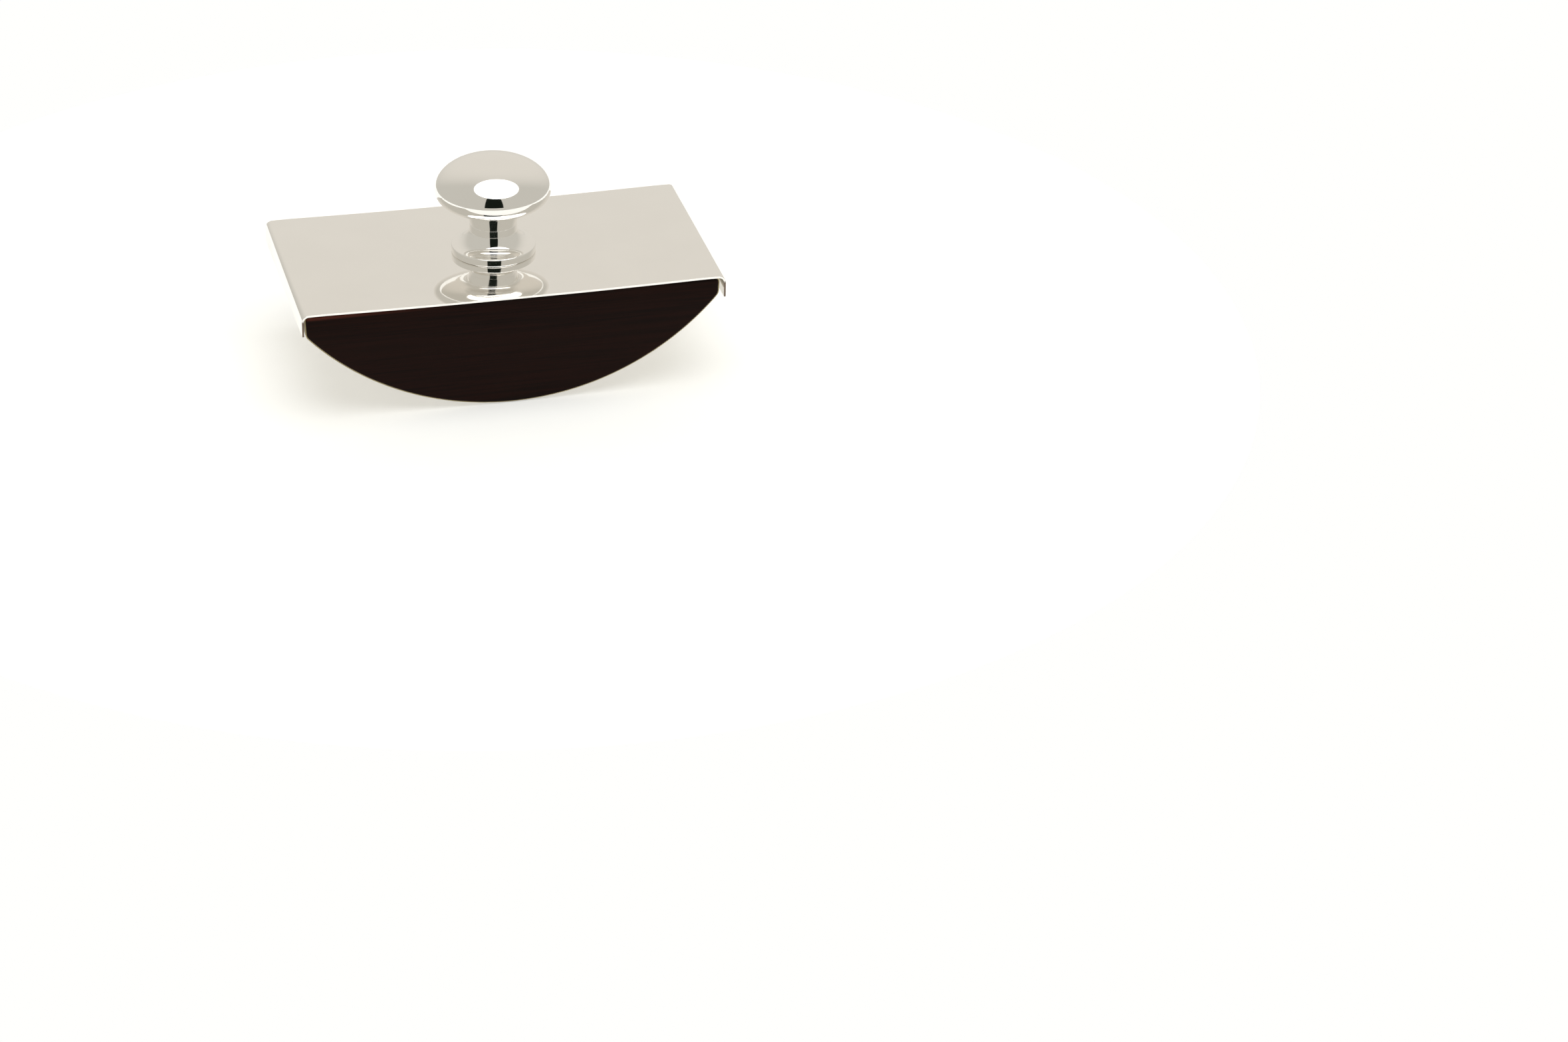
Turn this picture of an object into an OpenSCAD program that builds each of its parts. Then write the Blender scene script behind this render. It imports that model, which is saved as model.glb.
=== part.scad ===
// Rocker ink blotter: a wooden D-section block with blotting paper wrapped round its curved sole,
// held by a lipped metal top plate that a turned knob clamps down.
// Origin: on the surface the sole rests on, under the knob's axis. +X along the block, +Z up.

/* [Top plate] */
// Length of the plate over its two lips
plate_len = 110; // [90:1:140]
// Width of the plate, front to back
plate_wid = 57.5; // [50:0.5:80]
// Thickness of the sheet
plate_t = 0.5; // [0.4:0.05:1]
// Depth of each end lip, from the plate's top face
lip_drop = 5.5; // [4:0.5:8]
// Outside radius of the bend between plate and lip
bend_r = 1.8; // [1.2:0.1:3]

/* [Block] */
// Length of the wooden block
block_len = 107.2; // [87.2:0.1:107.4]
// Width of the wooden block, front to back
block_wid = 56.9; // [45:0.1:57]
// Height of the block from its sole to its flat top
block_h = 29.2; // [24:0.1:40]
// Radius of the block's curved sole
sole_r = 70.6; // [60:0.1:90]
// How far the block sits to the left of the knob's axis
block_shift = 0.35; // [0:0.05:0.4]
// How far the sole's centre of curvature sits to the left of the knob's axis
sole_shift = 0.9; // [0:0.1:1.5]
// How much shorter the block is at the bottom of each end face
end_draft = 0.35; // [0:0.05:1]
// Leg of the chamfer between the block's top and each end face
end_arris = 0.8; // [0.6:0.1:1.2]

/* [Blotting paper] */
// Thickness of the paper
paper_t = 0.3; // [0.2:0.05:0.5]
// Width of the paper strip
paper_wid = 55.9; // [44:0.1:57]
// Distance from the knob's axis to where each folded tail ends
tail_x = 45.7; // [35:0.1:48]

/* [Knob] */
// Diameter of the cap
cap_dia = 30; // [24:0.5:36]
// Height of the whole knob above the plate
knob_h = 25.8; // [25:0.1:32]
// Height of the cap's widest line above the plate
cap_mid = 17.7; // [16.5:0.1:19]
// Depth of the cap's underside below its widest line
cap_under = 5.8; // [5:0.1:6.2]
// Diameter of the neck's lower collar
neck_dia = 12.4; // [11:0.1:12.6]
// Diameter of the neck where its flare meets the cove under the cap
flare_dia = 13.5; // [12.8:0.1:14]
// Diameter of the base rim
base_dia = 21.9; // [21:0.1:24]

/* [Fixings] */
// Thread diameter of the stud
stud_dia = 5; // [4:1:6]
// Depth that the stud reaches into the insert
stud_reach = 10; // [8:0.5:12]
// Outside diameter of the threaded insert
insert_dia = 8; // [7:0.5:10]
// Length of the threaded insert
insert_len = 13; // [10:0.5:16]
// Diameter of the washer under the knob
washer_dia = 15; // [12:0.5:16]

/* [Hidden] */
$fn = 128;

block_top = paper_t + block_h;
plate_top = block_top + plate_t;
sole_z = paper_t + sole_r;
plate_half = plate_len / 2;

// the plate is flat over this distance from the axis, where the knob clamps it
seat_x = 12;
// the tails of the paper lift the plate by their thickness and this much air
tail_lift = paper_t + 0.02;
bow_steps = 12;
// height over which the end faces draw in
end_face_h = 8;
bend_steps = 8;
plate_hole_r = stud_dia / 2 + 0.5;

thread_gap = 0.05;
stud_depth_in_knob = 10;
stud_hole_depth = 10.5;
insert_well = 2;

// knob outline heights above the plate
washer_t = 0.5;
recess_r = washer_dia / 2 + 0.3;
foot_round = 0.5;
rim_round = 0.35;
rim_h = 2.15;
// the hollow between rim and neck, its face tilted this far up from upright at each end
hollow_from = 80;
hollow_to = 14;
hollow_r = 5.4;
collar_z = 7.95;
collar_step = 0.1;
flare_z = 11.1;
cove_r = 9.6;
cap_power = 2.4;
curve_steps = 8;

// Height of the bent plate over its seat: a strip bent up from the seat to the tail, straight beyond it
function bow(x) =
    let (s = (abs(x) - seat_x) / (tail_x - seat_x))
    s <= 0 ? 0 : s <= 1 ? tail_lift * (3 * s * s - s * s * s) / 2 : tail_lift * (1 + 1.5 * (s - 1));

// One face of the bent plate, at this depth below its top face, from the left lip to the right one
function plate_face(depth) =
    let (
        corner_x = plate_half - bend_r,
        r = bend_r - depth,
        corner_z = bow(corner_x) - bend_r,
        bend = [for (i = [0 : bend_steps]) let (a = 90 * i / bend_steps)
                [corner_x + r * sin(a), corner_z + r * cos(a)]],
        top = [for (i = [1 : bow_steps]) let (x = corner_x + (seat_x - corner_x) * i / bow_steps)
               [x, bow(x) - depth]],
        right = concat([for (i = [len(top) - 1 : -1 : 0]) top[i]], bend,
                       [[plate_half - depth, -lip_drop]])
    )
    concat([for (i = [len(right) - 1 : -1 : 0]) [-right[i][0], right[i][1]]], right);

function reversed(points) = [for (i = [len(points) - 1 : -1 : 0]) points[i]];

// Arc of an ellipse in a knob outline, as [radius, height] points
function arc_points(centre, size, from, to) =
    [for (i = [0 : curve_steps]) let (a = from + (to - from) * i / curve_steps)
     [centre[0] + size[0] * cos(a), centre[1] + size[1] * sin(a)]];

// The cap's underside is fuller than an ellipse
function cap_underside(r) = cap_mid - cap_under * pow(1 - pow(2 * r / cap_dia, cap_power), 1 / cap_power);

// Side view of the block, grown outwards by the thickness of what wraps it
module block_outline(grow) {
    half = block_len / 2 + grow;
    top = block_top + grow;
    arris = end_arris + grow * (2 - sqrt(2));
    low = block_top - end_face_h;
    bottom = paper_t - grow;
    right = [[half - arris, top], [half, top - arris], [half - end_draft, low], [half - end_draft, bottom]];
    intersection() {
        translate([-sole_shift, sole_z])
            circle(r = sole_r + grow, $fn = 720);
        translate([-block_shift, 0])
            polygon(concat(right, [for (p = reversed(right)) [-p[0], p[1]]]));
    }
}

module across(width) {
    translate([0, width / 2, 0])
        rotate([90, 0, 0])
            linear_extrude(width)
                children();
}

module rocker_body() {
    color([0.16, 0.07, 0.05])
        difference() {
            across(block_wid)
                block_outline(0);
            translate([0, 0, block_top - insert_len])
                cylinder(d = insert_dia, h = insert_len + 1);
            translate([0, 0, block_top - insert_len - insert_well])
                cylinder(d = stud_dia, h = insert_well + 1);
        }
}

module threaded_insert() {
    color([0.78, 0.62, 0.3])
        translate([0, 0, block_top - insert_len])
            difference() {
                cylinder(d = insert_dia, h = insert_len);
                translate([0, 0, -1])
                    cylinder(r = stud_dia / 2 + thread_gap, h = insert_len + 2);
            }
}

module blotting_paper() {
    color([0.93, 0.9, 0.84])
        across(paper_wid)
            difference() {
                block_outline(paper_t);
                block_outline(0);
                translate([-tail_x, block_top - 1])
                    square([2 * tail_x, paper_t + 2]);
            }
}

module top_plate() {
    color([0.83, 0.82, 0.8])
        difference() {
            translate([0, 0, plate_top])
                across(plate_wid)
                    polygon(concat(plate_face(0), reversed(plate_face(plate_t))));
            translate([0, 0, block_top - 1])
                cylinder(r = plate_hole_r, h = plate_t + 2);
        }
}

module knob_washer() {
    color([0.8, 0.64, 0.32])
        translate([0, 0, plate_top])
            difference() {
                cylinder(d = washer_dia, h = washer_t);
                translate([0, 0, -1])
                    cylinder(r = stud_dia / 2 + 2 * thread_gap, h = washer_t + 2);
            }
}

// Outline of the turned knob, from the foot of its rim to the crown
function knob_outline() =
    let (
        rim_r = base_dia / 2,
        neck_r = neck_dia / 2,
        brow = [rim_r - rim_round, rim_h],
        centre = [brow[0] + hollow_r * cos(hollow_from), brow[1] + hollow_r * sin(hollow_from)],
        crease_z = centre[1] - hollow_r * sin(hollow_to)
    )
    concat(
        [[0, 0]],
        arc_points([rim_r - foot_round, foot_round], [foot_round, foot_round], -90, 0),
        arc_points([rim_r - rim_round, rim_h - rim_round], [rim_round, rim_round], 0, hollow_from),
        arc_points(centre, [-hollow_r, -hollow_r], hollow_from, hollow_to),
        [[neck_r, crease_z], [neck_r, collar_z], [neck_r - collar_step, collar_z + collar_step]],
        arc_points([cove_r, flare_z], [flare_dia / 2 - cove_r, cap_underside(cove_r) - flare_z], 0, 90),
        [for (i = [1 : curve_steps]) let (r = cove_r + (cap_dia / 2 - cove_r) * sin(90 * i / curve_steps))
         [r, cap_underside(r)]],
        [for (i = [1 : 2 * curve_steps]) let (a = 45 * i / curve_steps)
         [i < 2 * curve_steps ? cap_dia / 2 * cos(a) : 0, cap_mid + (knob_h - cap_mid) * sin(a)]]
    );

module knob() {
    color([0.86, 0.86, 0.85])
        translate([0, 0, plate_top])
            difference() {
                rotate_extrude()
                    polygon(knob_outline());
                translate([0, 0, -1])
                    cylinder(r = recess_r, h = washer_t + 1);
                cylinder(d = stud_dia, h = washer_t + stud_hole_depth);
            }
}

module knob_stud() {
    color([0.7, 0.7, 0.72])
        translate([0, 0, block_top - stud_reach])
            cylinder(d = stud_dia, h = stud_reach + plate_t + washer_t + stud_depth_in_knob);
}

rocker_body();
threaded_insert();
blotting_paper();
top_plate();
knob_washer();
knob();
knob_stud();
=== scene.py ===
import math

import bmesh
import bpy
from mathutils import Matrix, Vector, noise


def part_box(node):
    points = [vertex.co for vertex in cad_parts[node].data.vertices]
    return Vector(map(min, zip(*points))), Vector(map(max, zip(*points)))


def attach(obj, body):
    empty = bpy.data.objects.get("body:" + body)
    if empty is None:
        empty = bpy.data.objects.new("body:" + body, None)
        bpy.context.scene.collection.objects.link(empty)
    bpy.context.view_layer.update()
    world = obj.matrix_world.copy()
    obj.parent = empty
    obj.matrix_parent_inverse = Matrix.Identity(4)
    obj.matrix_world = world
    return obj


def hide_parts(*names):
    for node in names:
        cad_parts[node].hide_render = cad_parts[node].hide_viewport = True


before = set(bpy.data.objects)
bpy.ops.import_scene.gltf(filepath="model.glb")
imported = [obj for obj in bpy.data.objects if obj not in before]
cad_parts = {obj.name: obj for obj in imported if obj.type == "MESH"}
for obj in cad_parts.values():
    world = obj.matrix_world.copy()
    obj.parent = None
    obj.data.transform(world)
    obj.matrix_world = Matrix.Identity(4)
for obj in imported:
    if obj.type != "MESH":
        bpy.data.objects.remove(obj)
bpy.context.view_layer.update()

MM = 0.001

# Camera: where it stands, measured from the middle of the plate's top face, and how it is turned
CAMERA_OFFSET = Vector((-224.7, -1144.0, 559.5)) * MM
CAMERA_RIGHT = Vector((0.9687, -0.2476, 0.0173))
CAMERA_FORWARD = Vector((0.2252, 0.8474, -0.4809))
CAMERA_LENS = 114.2
SENSOR_WIDTH = 36.0

# Floor
FLOOR_R = 0.2

# Places read from the CAD frame
block_lo, block_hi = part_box("rocker_body")
paper_lo, paper_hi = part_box("blotting_paper")
plate_lo, plate_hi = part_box("top_plate")
knob_lo, knob_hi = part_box("knob")
washer_lo, washer_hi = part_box("knob_washer")
insert_lo, insert_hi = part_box("threaded_insert")
stud_lo, stud_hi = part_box("knob_stud")

BLOCK_TOP = block_hi.z
PLATE_TOP = knob_lo.z
PLATE_T = PLATE_TOP - BLOCK_TOP
PAPER_T = block_lo.z

# Block
SOLE_R = 70.6 * MM
SOLE_X = -0.9 * MM
SOLE_Z = PAPER_T + SOLE_R
END_DRAFT = 0.35 * MM
END_DRAFT_H = 8 * MM
CORNER_ROUND = 0.8 * MM
ARRIS_ROUND = 0.45 * MM
END_ROUND = 1.1 * MM

# Paper
TAIL_X = 45.7 * MM
PAPER_AIR = 0.01 * MM

# Plate
SEAT_X = 12 * MM
TAIL_LIFT = PAPER_T + 0.02 * MM
BEND_R = 1.8 * MM
LIP_DROP = PLATE_TOP - plate_lo.z
ROLL_OFF = 5 * MM
ROLL_DROP = 0.1 * MM
SHEET_EDGE = 0.05 * MM
HOLE_R = 3 * MM

# Knob, heights above the plate
CAP_R = (knob_hi.x - knob_lo.x) / 2
CAP_MID = 17.7 * MM
CAP_UNDER = 5.8 * MM
CAP_POWER = 2.4
CAP_TOP = knob_hi.z - PLATE_TOP
BASE_R = 10.95 * MM
NECK_R = 6.2 * MM
RECESS_R = 7.8 * MM
STUD_R = (stud_hi.x - stud_lo.x) / 2
THREAD_PITCH = 0.8 * MM
THREAD_DEPTH = 0.42 * MM
THREAD_GAP = 0.05 * MM
STUD_CHAMFER = 0.7 * MM
# parts of a turn taken by half the thread's crest and by each of its flanks
CREST_HALF = 0.0625
FLANK = 0.3125


# ---------------------------------------------------------------- outlines

def arc(centre, size, start, end, steps):
    """Points along an ellipse's arc, angles in degrees."""
    points = []
    for i in range(steps + 1):
        a = math.radians(start + (end - start) * i / steps)
        points.append((centre[0] + size[0] * math.cos(a), centre[1] + size[1] * math.sin(a)))
    return points


def length(a, b):
    return math.hypot(b[0] - a[0], b[1] - a[1])


def mix(a, b, t):
    return (a[0] + (b[0] - a[0]) * t, a[1] + (b[1] - a[1]) * t)


def trimmed(points, cut):
    """The polyline without its last stretch of this length."""
    points = list(points)
    while len(points) > 2 and length(points[-2], points[-1]) <= cut:
        cut -= length(points[-2], points[-1])
        points.pop()
    last = length(points[-2], points[-1])
    points[-1] = mix(points[-1], points[-2], min(cut / last, 0.9))
    return points


def joined(runs, cut, steps=5):
    """Runs of points joined end to end, each corner between them rounded over this length."""
    line = list(runs[0])
    for run in runs[1:]:
        corner = line[-1]
        line = trimmed(line, cut)
        rest = trimmed(list(reversed(run)), cut)[::-1]
        start, end = line[-1], rest[0]
        for i in range(1, steps):
            t = i / steps
            line.append(mix(mix(start, corner, t), mix(corner, end, t), t))
        line += rest
    return line


def offset(points, distance):
    """The polyline moved to its left by this distance."""
    moved = []
    for i, p in enumerate(points):
        a = points[max(i - 1, 0)]
        b = points[min(i + 1, len(points) - 1)]
        size = length(a, b)
        moved.append((p[0] - (b[1] - a[1]) / size * distance, p[1] + (b[0] - a[0]) / size * distance))
    return moved


# ---------------------------------------------------------------- meshes

def mesh_object(name, vertices, faces):
    mesh = bpy.data.meshes.new(name)
    mesh.from_pydata(vertices, [], faces)
    mesh.update()
    made = bpy.data.objects.new(name, mesh)
    bpy.context.scene.collection.objects.link(made)
    return made


def smooth(piece, angle=32):
    piece.data.shade_smooth()
    piece.data.set_sharp_from_angle(angle=math.radians(angle))
    return piece


def apply_modifier(piece, kind, **settings):
    modifier = piece.modifiers.new(kind.lower(), kind)
    for key, value in settings.items():
        setattr(modifier, key, value)
    bpy.context.view_layer.objects.active = piece
    bpy.ops.object.modifier_apply(modifier=modifier.name)


def tidy_normals(piece):
    work = bmesh.new()
    work.from_mesh(piece.data)
    bmesh.ops.remove_doubles(work, verts=work.verts, dist=1e-7)
    bmesh.ops.recalc_face_normals(work, faces=work.faces)
    work.to_mesh(piece.data)
    work.free()


def prism(name, outline, y_from, y_to, bands=1):
    """A closed X-Z outline run across from one Y to the other, in bands."""
    n = len(outline)
    vertices = []
    for j in range(bands + 1):
        y = y_from + (y_to - y_from) * j / bands
        vertices += [(x, y, z) for x, z in outline]
    faces = [tuple(range(n)), tuple(range(n * bands, n * (bands + 1)))[::-1]]
    for j in range(bands):
        for i in range(n):
            a, b = j * n + i, j * n + (i + 1) % n
            faces.append((a, a + n, b + n, b))
    made = mesh_object(name, vertices, faces)
    tidy_normals(made)
    return made


def lathe(name, outline, base_z, segments=192):
    """An open R-Z outline turned about Z. Ends on the axis are closed to a point."""
    vertices, rings = [], []
    for r, z in outline:
        if r < 1e-7:
            rings.append([len(vertices)])
            vertices.append((0, 0, base_z + z))
            continue
        rings.append(list(range(len(vertices), len(vertices) + segments)))
        for i in range(segments):
            a = 2 * math.pi * i / segments
            vertices.append((r * math.cos(a), r * math.sin(a), base_z + z))
    faces = []
    for low, high in zip(rings, rings[1:]):
        for i in range(segments):
            k = (i + 1) % segments
            if len(high) == 1:
                faces.append((low[i], low[k], high[0]))
            elif len(low) == 1:
                faces.append((low[0], high[k], high[i]))
            else:
                faces.append((low[i], low[k], high[k], high[i]))
    made = mesh_object(name, vertices, faces)
    tidy_normals(made)
    return made


def drill(piece, radius, z_from, z_to):
    """Cuts a round hole down the Z axis."""
    outline = [(0, z_from), (radius, z_from), (radius, z_to), (0, z_to)]
    cutter = lathe("cutter", outline, 0, 96)
    apply_modifier(piece, "BOOLEAN", object=cutter, operation="DIFFERENCE", solver="EXACT")
    bpy.data.objects.remove(cutter, do_unlink=True)


# ---------------------------------------------------------------- materials

class Nodes:
    """A short way to write a material's node tree."""

    def __init__(self, name):
        self.material = bpy.data.materials.new(name)
        self.material.use_nodes = True
        self.tree = self.material.node_tree
        self.tree.nodes.clear()
        self.shader = self.add("ShaderNodeBsdfPrincipled")
        output = self.add("ShaderNodeOutputMaterial")
        self.link(self.shader.outputs[0], output.inputs["Surface"])
        self.where = self.add("ShaderNodeTexCoord").outputs["Object"]

    def add(self, kind, **settings):
        node = self.tree.nodes.new(kind)
        for key, value in settings.items():
            setattr(node, key, value)
        return node

    def link(self, source, target):
        self.tree.links.new(source, target)

    def scaled(self, scale):
        node = self.add("ShaderNodeVectorMath", operation="MULTIPLY")
        self.link(self.where, node.inputs[0])
        node.inputs[1].default_value = scale
        return node.outputs[0]

    def noise(self, scale, detail=4, roughness=0.55, distortion=0.0):
        """Noise whose scale is features per metre along X, Y and Z."""
        node = self.add("ShaderNodeTexNoise")
        self.link(self.scaled(scale), node.inputs["Vector"])
        node.inputs["Scale"].default_value = 1
        node.inputs["Detail"].default_value = detail
        node.inputs["Roughness"].default_value = roughness
        node.inputs["Distortion"].default_value = distortion
        return node.outputs["Fac"]

    def ramp(self, source, *stops):
        node = self.add("ShaderNodeValToRGB")
        self.link(source, node.inputs[0])
        elements = node.color_ramp.elements
        while len(elements) < len(stops):
            elements.new(0.5)
        for element, (place, colour) in zip(elements, stops):
            element.position = place
            element.color = (*colour, 1)
        return node.outputs[0]

    def range(self, source, low, high, from_low=0.0, from_high=1.0):
        node = self.add("ShaderNodeMapRange")
        self.link(source, node.inputs[0])
        node.inputs["From Min"].default_value = from_low
        node.inputs["From Max"].default_value = from_high
        node.inputs["To Min"].default_value = low
        node.inputs["To Max"].default_value = high
        return node.outputs[0]

    def math(self, operation, a, b):
        node = self.add("ShaderNodeMath", operation=operation)
        for socket, value in zip(node.inputs, (a, b)):
            if isinstance(value, (int, float)):
                socket.default_value = value
            else:
                self.link(value, socket)
        return node.outputs[0]

    def blend(self, factor, a, b):
        node = self.add("ShaderNodeMix", data_type="RGBA")
        if isinstance(factor, (int, float)):
            node.inputs[0].default_value = factor
        else:
            self.link(factor, node.inputs[0])
        for socket, value in ((node.inputs[6], a), (node.inputs[7], b)):
            if isinstance(value, tuple):
                socket.default_value = (*value, 1)
            else:
                self.link(value, socket)
        return node.outputs[2]

    def facing_y(self, low, high):
        """0 to 1 as the surface turns to face along the piece's own Y."""
        split = self.add("ShaderNodeSeparateXYZ")
        self.link(self.add("ShaderNodeTexCoord").outputs["Normal"], split.inputs[0])
        return self.range(self.math("ABSOLUTE", split.outputs["Y"], 0.0), 0, 1, low, high)

    def bump(self, height, depth, strength=1.0, under=None):
        """Bump of this depth in metres for a height of 0 to 1."""
        node = self.add("ShaderNodeBump")
        node.inputs["Strength"].default_value = strength
        node.inputs["Distance"].default_value = depth
        self.link(height, node.inputs["Height"])
        if under:
            self.link(under, node.inputs["Normal"])
        return node.outputs[0]

    def set(self, **values):
        for key, value in values.items():
            socket = self.shader.inputs[key.replace("_", " ")]
            if isinstance(value, (int, float)):
                socket.default_value = value
            elif isinstance(value, tuple):
                socket.default_value = (*value, 1)
            else:
                self.link(value, socket)


def silver_plate():
    """Polished silver plate: a faint ripple, hairline marks, a little dust, dull sheared lip ends."""
    n = Nodes("silver_plate")
    smudge = n.noise((60, 60, 60), 3)
    hairline = n.noise((300, 5200, 5200), 2)
    tone = n.ramp(smudge, (0.3, (0.925, 0.91, 0.885)), (0.7, (0.945, 0.93, 0.905)))
    speck = n.noise((700, 700, 700), 2, 0.5)
    dust = n.range(speck, 0, 1, 0.8, 0.86)
    place = n.add("ShaderNodeSeparateXYZ")
    n.link(n.where, place.inputs[0])
    lip = n.range(place.outputs["Z"], 1, 0, PLATE_TOP - 1.6 * MM, PLATE_TOP - 0.9 * MM)
    sheared = n.math("MULTIPLY", lip, n.facing_y(0.7, 0.9))
    clean = n.blend(dust, tone, (0.5, 0.48, 0.45))
    n.set(Base_Color=n.blend(sheared, clean, (0.15, 0.11, 0.085)), Metallic=1.0)
    rough = n.math("ADD", n.range(smudge, 0.035, 0.065, 0.3, 0.7), n.math("MULTIPLY", sheared, 0.25))
    n.set(Roughness=n.math("ADD", rough, n.math("MULTIPLY", dust, 0.3)))
    ripple = n.bump(n.noise((90, 90, 90), 2), 0.4e-6)
    n.set(Normal=n.bump(hairline, 0.03e-6, 0.5, ripple))
    return n.material


def mahogany():
    """Dark stained mahogany under thin lacquer, grain along X, with a painted highlight along the top side
    arrises: a lighter, redder band, strongest at the left and broken by the grain.
    """
    n = Nodes("mahogany")
    figure = n.noise((7, 45, 110), 5, 0.6, distortion=0.5)
    streak = n.noise((35, 900, 1800), 5, 0.65)
    pore = n.noise((260, 5200, 5200), 3, 0.6)
    base = n.ramp(figure, (0.3, (0.0045, 0.0026, 0.002)), (0.55, (0.006, 0.003, 0.0022)),
                  (0.8, (0.012, 0.0045, 0.0028)))
    lined = n.blend(n.range(streak, 0, 0.8, 0.42, 0.62), (0.013, 0.0042, 0.0028), base)
    pores = n.range(pore, 0, 1, 0.62, 0.72)
    stained = n.blend(n.math("MULTIPLY", pores, 0.7), lined, (0.003, 0.002, 0.002))
    place = n.add("ShaderNodeSeparateXYZ")
    n.link(n.where, place.inputs[0])
    # painted highlight: lighter, redder colour along the top side arrises, fading out towards the right
    arris = n.range(place.outputs["Z"], 0, 1, BLOCK_TOP - 1.0 * MM, BLOCK_TOP - 0.3 * MM)
    across = n.math("ABSOLUTE", place.outputs["Y"], 0)
    outer = n.range(across, 0, 1, block_hi.y - 0.9 * MM, block_hi.y - 0.3 * MM)
    left = n.range(place.outputs["X"], 0.6, 0.0, -50 * MM, -15 * MM)
    arris_highlight = n.math("MULTIPLY", n.math("MULTIPLY", arris, outer), left)
    arris_highlight = n.math("MULTIPLY", arris_highlight, n.range(streak, 0.6, 1.0, 0.35, 0.65))
    n.set(Base_Color=n.blend(arris_highlight, stained, (0.16, 0.04, 0.026)))
    n.set(Roughness=n.range(streak, 0.32, 0.46))
    n.set(Specular_IOR_Level=0.05)
    fine = n.bump(n.math("SUBTRACT", 1.0, pores), 12e-6, 0.6)
    n.set(Normal=n.bump(streak, 6e-6, 0.5, fine))
    return n.material


def blotting_paper():
    """Soft, matt, slightly fibrous paper."""
    n = Nodes("blotting_paper")
    fibre = n.noise((900, 2600, 2600), 4, 0.65, distortion=1.0)
    cloud = n.noise((120, 120, 120), 3)
    tone = n.ramp(cloud, (0.3, (0.78, 0.74, 0.65)), (0.7, (0.84, 0.8, 0.72)))
    fibres = n.blend(n.range(fibre, 0, 0.35, 0.35, 0.7), tone, (0.66, 0.61, 0.52))
    # painted shade: the faces turned along Y, the paper's side edges, are darkened to a tan
    n.set(Base_Color=n.blend(n.facing_y(0.6, 0.9), fibres, (0.5, 0.42, 0.24)))
    n.set(Roughness=n.range(fibre, 0.85, 1.0), Specular_IOR_Level=0.2)
    n.set(Normal=n.bump(fibre, 25e-6, 0.8))
    return n.material


def brass():
    """Turned brass with faint tool rings and a little tarnish."""
    n = Nodes("brass")
    tarnish = n.noise((500, 500, 500), 4)
    rings = n.noise((900, 900, 9000), 2)
    n.set(Base_Color=n.ramp(tarnish, (0.3, (0.52, 0.36, 0.14)), (0.7, (0.72, 0.53, 0.24))))
    n.set(Metallic=1.0, Roughness=n.range(rings, 0.2, 0.36))
    n.set(Normal=n.bump(rings, 3e-6, 0.6))
    return n.material


def steel():
    """Zinc plated steel thread."""
    n = Nodes("steel")
    cloud = n.noise((700, 700, 700), 4)
    fine = n.noise((4000, 4000, 8000), 2)
    n.set(Base_Color=n.ramp(cloud, (0.3, (0.5, 0.51, 0.53)), (0.7, (0.64, 0.65, 0.67))))
    n.set(Metallic=1.0, Roughness=n.range(fine, 0.22, 0.4))
    n.set(Normal=n.bump(fine, 3e-6, 0.5))
    return n.material


# ---------------------------------------------------------------- pieces

def block_edge():
    """Side outline of the block, from the right end of its flat top clockwise to the left end."""
    left, right = block_lo.x, block_hi.x
    low_left, low_right = left + END_DRAFT, right - END_DRAFT

    def sole_angle(x):
        return math.degrees(math.asin((x - SOLE_X) / SOLE_R)) - 90

    def end_corner(x_top, x_low):
        """Where an end face meets the sole."""
        x = x_low
        for _ in range(20):
            z = SOLE_Z - math.sqrt(SOLE_R ** 2 - (x - SOLE_X) ** 2)
            x = x_top + (x_low - x_top) * min((BLOCK_TOP - z) / END_DRAFT_H, 1)
        return x, z

    a, b = end_corner(right, low_right), end_corner(left, low_left)
    sole = arc((SOLE_X, SOLE_Z), (SOLE_R, SOLE_R), sole_angle(a[0]), sole_angle(b[0]), 240)
    return (right, BLOCK_TOP), a, sole, b, (left, BLOCK_TOP)


def wrapped_path():
    """The block's edge where paper covers it: right tail, right end, sole, left end, left tail."""
    right, a, sole, b, left = block_edge()
    ends = [[(TAIL_X, BLOCK_TOP), right], [right, a], sole, [b, left], [left, (-TAIL_X, BLOCK_TOP)]]
    top = joined(ends[:2], END_ROUND)
    middle = joined([top, sole, ends[3]], CORNER_ROUND)
    return joined([middle, ends[4]], END_ROUND)


def make_block():
    outline = wrapped_path()
    piece = prism("mahogany_block", outline, block_lo.y, block_hi.y)
    apply_modifier(piece, "BEVEL", width=ARRIS_ROUND, segments=4, limit_method="ANGLE",
                   angle_limit=math.radians(50), harden_normals=False)
    drill(piece, (insert_hi.x - insert_lo.x) / 2 + 0.01 * MM, insert_lo.z - 2 * MM, BLOCK_TOP + MM)
    smooth(piece, 40)
    return piece


def make_paper():
    path = wrapped_path()
    inner, outer = offset(path, PAPER_AIR), offset(path, PAPER_T)
    bands, edge, edge_scale = 48, 0.06 * MM, 900
    piece = prism("blotting_paper_strip", inner + outer[::-1], paper_lo.y, paper_hi.y, bands)
    for v in piece.data.vertices:
        side = abs(v.co.y) / paper_hi.y
        if side > 0.999:
            v.co.y -= math.copysign(edge * (1 + noise.noise(v.co * edge_scale)), v.co.y)
    smooth(piece, 50)
    return piece


def bow(x):
    """Height of the bent plate over its seat."""
    s = (abs(x) - SEAT_X) / (TAIL_X - SEAT_X)
    if s <= 0:
        return 0
    if s <= 1:
        return TAIL_LIFT * (3 * s * s - s ** 3) / 2
    return TAIL_LIFT * (1 + 1.5 * (s - 1))


def plate_height(x):
    """The bow, less the slight roll-off of the sheet towards each bend."""
    over = abs(x) - (plate_hi.x - BEND_R - ROLL_OFF)
    return bow(x) - (ROLL_DROP * (over / ROLL_OFF) ** 2 if over > 0 else 0)


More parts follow.
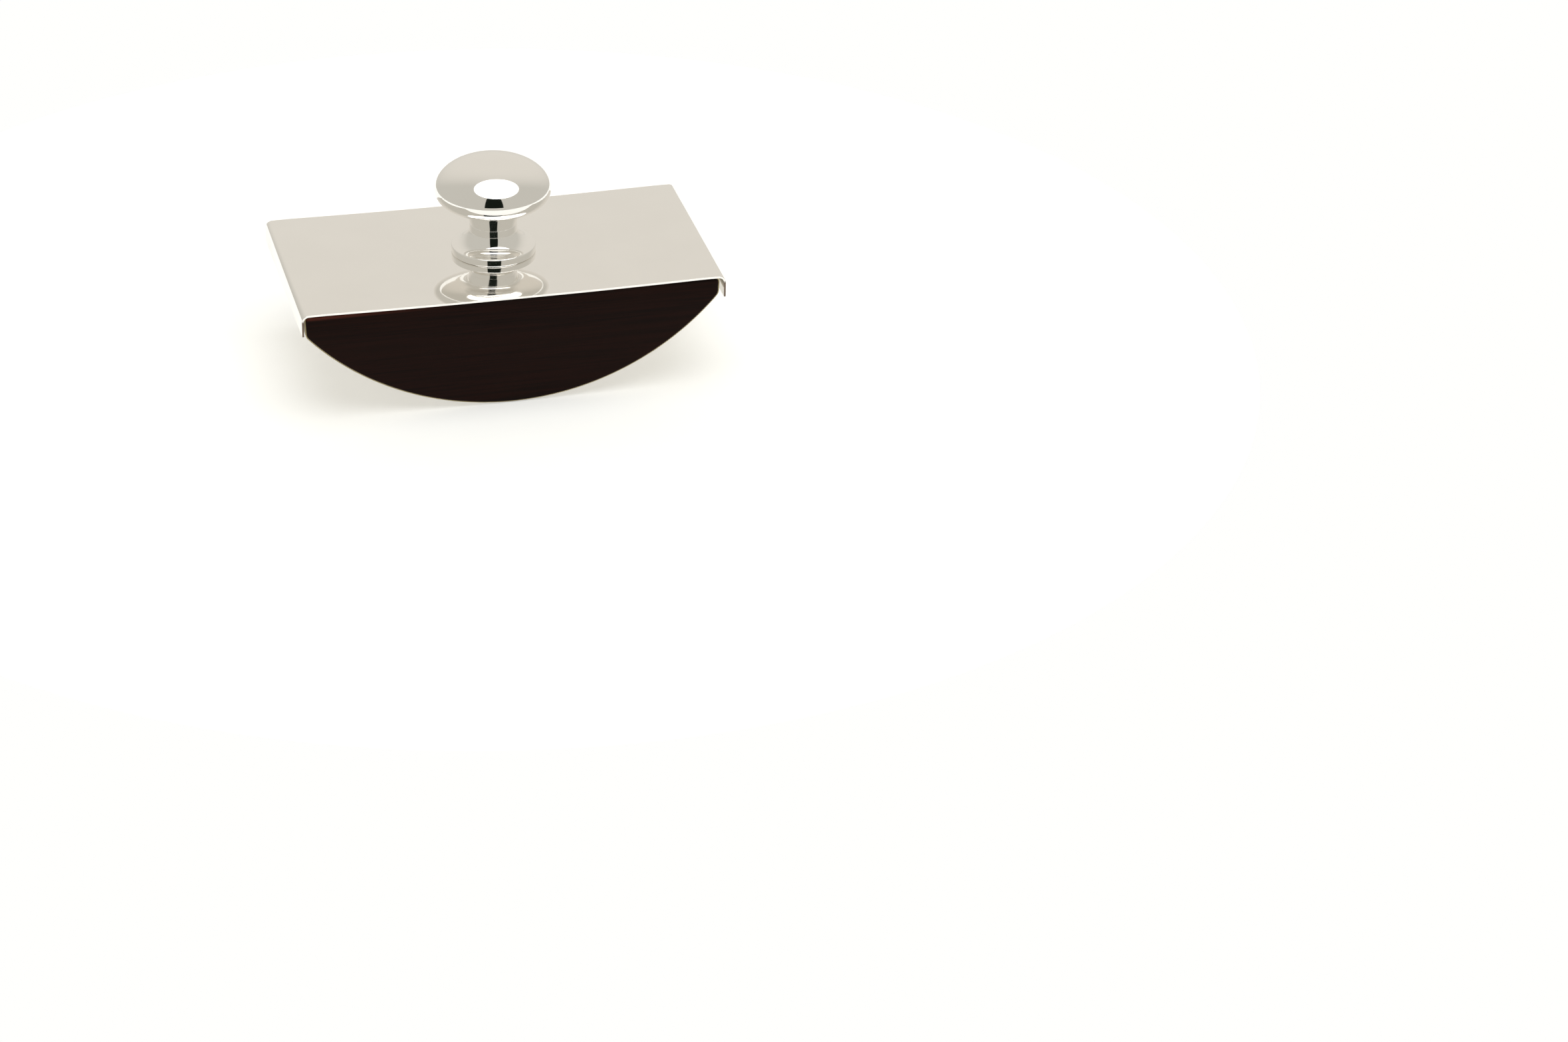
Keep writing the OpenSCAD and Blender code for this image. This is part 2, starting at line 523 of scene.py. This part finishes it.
def make_plate():
    corner = plate_hi.x - BEND_R
    steps = 160
    top = [(-corner + 2 * corner * i / steps, 0) for i in range(steps + 1)]
    top = [(x, plate_height(x)) for x, _ in top]
    slope = math.degrees(math.atan2(top[-1][1] - top[-2][1], top[-1][0] - top[-2][0]))
    centre = (corner, top[-1][1] - BEND_R)
    right = arc(centre, (BEND_R, BEND_R), 90 + slope, 0, 20)[1:] + [(plate_hi.x, -LIP_DROP)]
    left = [(-x, z) for x, z in reversed(right)]
    outer = left + top + right
    outline = outer + offset(outer, -PLATE_T)[::-1]
    outline = [(x, z + PLATE_TOP) for x, z in outline]
    piece = prism("silver_plate_top", outline, plate_lo.y, plate_hi.y)
    apply_modifier(piece, "BEVEL", width=SHEET_EDGE, segments=3, limit_method="ANGLE",
                   angle_limit=math.radians(50), harden_normals=False)
    drill(piece, HOLE_R, BLOCK_TOP - MM, PLATE_TOP + MM)
    smooth(piece, 35)
    return piece


def cap_underside(r):
    return CAP_MID - CAP_UNDER * (1 - (r / CAP_R) ** CAP_POWER) ** (1 / CAP_POWER)


def knob_outline():
    """Outline of the knob from its foot to the crown, as turned on a lathe."""
    foot_round, rim_round, rim_h = 0.5 * MM, 0.35 * MM, 2.15 * MM
    hollow_r, hollow_from, hollow_to = 5.4 * MM, 80, 14
    collar_z, flare_z, flare_r, cove_r = 7.95 * MM, 11.1 * MM, 6.75 * MM, 9.6 * MM
    brow_x, tilt = BASE_R - rim_round, math.radians(hollow_from)
    centre = (brow_x + hollow_r * math.cos(tilt), rim_h + hollow_r * math.sin(tilt))
    toe = arc((BASE_R - foot_round, foot_round), (foot_round, foot_round), -90, 0, 10)
    brow = arc((brow_x, rim_h - rim_round), (rim_round, rim_round), 0, hollow_from, 8)
    hollow = arc(centre, (-hollow_r, -hollow_r), hollow_from, hollow_to, 40)
    collar = [hollow[-1], (NECK_R, hollow[-1][1]), (NECK_R, collar_z)]
    flare = [collar[-1], (NECK_R - 0.1 * MM, collar_z + 0.1 * MM), (flare_r, flare_z)]
    cove = arc((cove_r, flare_z), (flare_r - cove_r, cap_underside(cove_r) - flare_z), 0, 90, 24)
    under = []
    for i in range(49):
        r = cove_r + (CAP_R - cove_r) * math.sin(math.pi / 2 * i / 48)
        under.append((r, cap_underside(r)))
    crown = arc((0, CAP_MID), (CAP_R, CAP_TOP - CAP_MID), 0, 90, 96)
    crown[-1] = (0, crown[-1][1])
    turned = joined([toe + brow + hollow, collar[:2], collar[1:]], 0.06 * MM)
    turned = joined([turned, flare[:2], flare[1:]], 0.04 * MM)
    return [(RECESS_R, 0)] + turned + cove[1:] + under[1:] + crown[1:]


def make_knob():
    recess = washer_hi.z - PLATE_TOP
    inside = [(0, recess), (RECESS_R, recess), (RECESS_R, 0)]
    piece = lathe("silver_knob", inside[:-1] + knob_outline(), PLATE_TOP)
    smooth(piece, 30)
    return piece


def thread_radius(crest, depth, turn):
    """Radius of a 60 degree thread at this part of a turn, flat on crest and root."""
    t = turn % 1
    rise = min(max((abs(t - 0.5) - CREST_HALF) / FLANK, 0), 1)
    return crest - depth * rise


def helix_tube(name, z_from, z_to, radius_at):
    """A closed rod whose radius depends on height and angle."""
    around, step = 64, THREAD_PITCH / 10
    rows = max(2, round((z_to - z_from) / step))
    vertices, faces = [], []
    for j in range(rows + 1):
        z = z_from + (z_to - z_from) * j / rows
        for i in range(around):
            a = 2 * math.pi * i / around
            r = radius_at(z, i / around)
            vertices.append((r * math.cos(a), r * math.sin(a), z))
    for j in range(rows):
        for i in range(around):
            k = (i + 1) % around
            faces.append((j * around + i, j * around + k, (j + 1) * around + k, (j + 1) * around + i))
    faces.append(tuple(range(around))[::-1])
    faces.append(tuple(range(rows * around, (rows + 1) * around)))
    return mesh_object(name, vertices, faces)


def make_stud():
    tip = stud_lo.z

    def radius_at(z, part):
        crest = min(STUD_R, STUD_R - STUD_CHAMFER + (z - tip))
        return min(thread_radius(STUD_R, THREAD_DEPTH, z / THREAD_PITCH - part), crest)

    piece = helix_tube("knob_stud_thread", tip, stud_hi.z, radius_at)
    tidy_normals(piece)
    return smooth(piece, 50)


def make_insert():
    """Insert with its thread cut outwards from the bore, so the stud's crests run clear."""
    bore, out = STUD_R + THREAD_GAP, (insert_hi.x - insert_lo.x) / 2
    top, chamfer, groove, rim = insert_hi.z, 0.4 * MM, 0.3 * MM, 0.15 * MM
    around, rows = 64, round((insert_hi.z - insert_lo.z - chamfer) / THREAD_PITCH * 10)
    vertices, faces = [], []

    def ring(r_at, z):
        for i in range(around):
            a = 2 * math.pi * i / around
            r = r_at(i / around)
            vertices.append((r * math.cos(a), r * math.sin(a), z))

    for j in range(rows + 1):
        z = insert_lo.z + (top - chamfer - insert_lo.z) * j / rows
        turn = z / THREAD_PITCH
        ring(lambda part, turn=turn: bore + groove - thread_radius(groove, groove, turn - part), z)
    ring(lambda part: bore + chamfer, top)
    ring(lambda part: out - rim, top)
    ring(lambda part: out, top - rim)
    ring(lambda part: out, insert_lo.z)
    count = len(vertices) // around
    for j in range(count):
        for i in range(around):
            k, up = (i + 1) % around, (j + 1) % count
            faces.append((j * around + i, up * around + i, up * around + k, j * around + k))
    piece = mesh_object("brass_insert", vertices, faces)
    tidy_normals(piece)
    return smooth(piece, 40)


def make_washer():
    hole, out = STUD_R + 2 * THREAD_GAP, (washer_hi.x - washer_lo.x) / 2
    low, high, chamfer = 0, washer_hi.z - washer_lo.z, 0.1 * MM
    outline = [(hole, low), (out - chamfer, low), (out, low + chamfer), (out, high - chamfer),
               (out - chamfer, high), (hole + chamfer, high), (hole, high - chamfer), (hole, low)]
    piece = lathe("brass_washer", outline, washer_lo.z, 128)
    return smooth(piece, 40)


def finish_piece(piece, material, body, node):
    piece.data.materials.append(material)
    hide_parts(node)
    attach(piece, body)


# ---------------------------------------------------------------- studio

def make_floor():
    """A pale disc, lit a little from within so that shadows on it stay soft."""
    rim = [(FLOOR_R * math.cos(a), FLOOR_R * math.sin(a), 0) for a in
           (2 * math.pi * i / 128 for i in range(128))]
    floor = mesh_object("floor", rim, [tuple(range(len(rim)))])
    n = Nodes("floor_paper")
    cloud = n.noise((30, 30, 30), 3)
    n.set(Base_Color=n.ramp(cloud, (0.3, (0.66, 0.66, 0.645)), (0.7, (0.67, 0.67, 0.655))))
    n.set(Roughness=0.9, Specular_IOR_Level=0.1)
    n.set(Emission_Color=(1.0, 1.0, 0.985), Emission_Strength=0.35)
    floor.data.materials.append(n.material)


def make_camera():
    data = bpy.data.cameras.new("camera")
    data.lens = CAMERA_LENS
    data.sensor_width = SENSOR_WIDTH
    data.sensor_fit = "HORIZONTAL"
    data.clip_start, data.clip_end = 0.05, 30
    camera = bpy.data.objects.new("camera", data)
    bpy.context.scene.collection.objects.link(camera)
    forward = CAMERA_FORWARD.normalized()
    right = (CAMERA_RIGHT - forward * CAMERA_RIGHT.dot(forward)).normalized()
    up = right.cross(forward)
    turn = Matrix((right, up, -forward)).transposed()
    camera.matrix_world = Matrix.Translation(CAMERA_OFFSET + Vector((0, 0, PLATE_TOP))) @ turn.to_4x4()
    bpy.context.scene.camera = camera


def make_light_tent():
    """A light tent as the world: pale walls, a bright round opening overhead, a dark slot in front."""
    world = bpy.data.worlds.new("light_tent")
    world.use_nodes = True
    bpy.context.scene.world = world
    tree = world.node_tree
    tree.nodes.clear()
    link = tree.links.new

    def add(kind, **settings):
        node = tree.nodes.new(kind)
        for key, value in settings.items():
            setattr(node, key, value)
        return node

    def calc(operation, a, b=0.0):
        node = add("ShaderNodeMath", operation=operation)
        for socket, value in zip(node.inputs, (a, b)):
            if isinstance(value, (int, float)):
                socket.default_value = value
            else:
                link(value, socket)
        return node.outputs[0]

    def along(direction):
        node = add("ShaderNodeVectorMath", operation="DOT_PRODUCT")
        link(where, node.inputs[0])
        node.inputs[1].default_value = direction
        return node.outputs["Value"]

    def step(value, low, high):
        node = add("ShaderNodeMapRange", interpolation_type="SMOOTHSTEP")
        link(value, node.inputs[0])
        node.inputs["From Min"].default_value = low
        node.inputs["From Max"].default_value = high
        return node.outputs[0]

    def blend(factor, a, b):
        node = add("ShaderNodeMix", data_type="RGBA")
        link(factor, node.inputs[0])
        for socket, value in ((node.inputs[6], a), (node.inputs[7], b)):
            if isinstance(value, tuple):
                socket.default_value = (*value, 1)
            else:
                link(value, socket)
        return node.outputs[2]

    def heading(azimuth, elevation):
        a, e = math.radians(azimuth), math.radians(elevation)
        return Vector((math.sin(a) * math.cos(e), -math.cos(a) * math.cos(e), math.sin(e)))

    where = add("ShaderNodeTexCoord").outputs["Generated"]
    side_wall, back_wall, floor_glow = (0.575, 0.555, 0.5), (0.75, 0.715, 0.65), (1.0, 1.0, 0.985)
    up = along(Vector((0, 0, 1)))
    tent = blend(step(along(heading(165, 30)), 0.5, 0.95), side_wall, back_wall)
    tent = blend(step(up, -0.3, -0.2), floor_glow, tent)
    # the dark slot in front, cut off at table height
    slot_azimuth, slot_half, slot_dark = -9, math.tan(math.radians(18)), (0.008, 0.011, 0.008)
    front, side = along(heading(slot_azimuth, 0)), along(heading(slot_azimuth + 90, 0))
    edge = calc("DIVIDE", calc("ABSOLUTE", side), calc("MAXIMUM", front, 0.02))
    slot = calc("SUBTRACT", 1.0, step(edge, slot_half * 0.97, slot_half * 1.03))
    slot = calc("MULTIPLY", slot, step(up, 0.02, 0.03))
    slot = calc("MULTIPLY", slot, step(front, 0.0, 0.05))
    tent = blend(slot, tent, slot_dark)
    # the opening overhead
    opening_light = (2.9, 2.9, 2.85)
    rim_out, rim_in = math.cos(math.radians(30.3)), math.cos(math.radians(28.9))
    opening = step(along(heading(19.5, 79.5)), rim_out, rim_in)
    tent = blend(opening, tent, opening_light)
    seen = add("ShaderNodeLightPath").outputs["Is Camera Ray"]
    colour = blend(seen, tent, floor_glow)
    background = add("ShaderNodeBackground")
    link(colour, background.inputs[0])
    link(background.outputs[0], add("ShaderNodeOutputWorld").inputs[0])


def main():
    make_camera()
    make_floor()
    make_light_tent()
    silver = silver_plate()
    finish_piece(make_block(), mahogany(), "rocker", "rocker_body")
    finish_piece(make_paper(), blotting_paper(), "rocker", "blotting_paper")
    finish_piece(make_insert(), brass(), "rocker", "threaded_insert")
    finish_piece(make_plate(), silver, "plate", "top_plate")
    finish_piece(make_washer(), bpy.data.materials["brass"], "washer", "knob_washer")
    finish_piece(make_knob(), silver, "knob", "knob")
    finish_piece(make_stud(), steel(), "knob", "knob_stud")
    bpy.context.scene.view_settings.view_transform = "Standard"
    bpy.context.scene.view_settings.look = "None"


main()
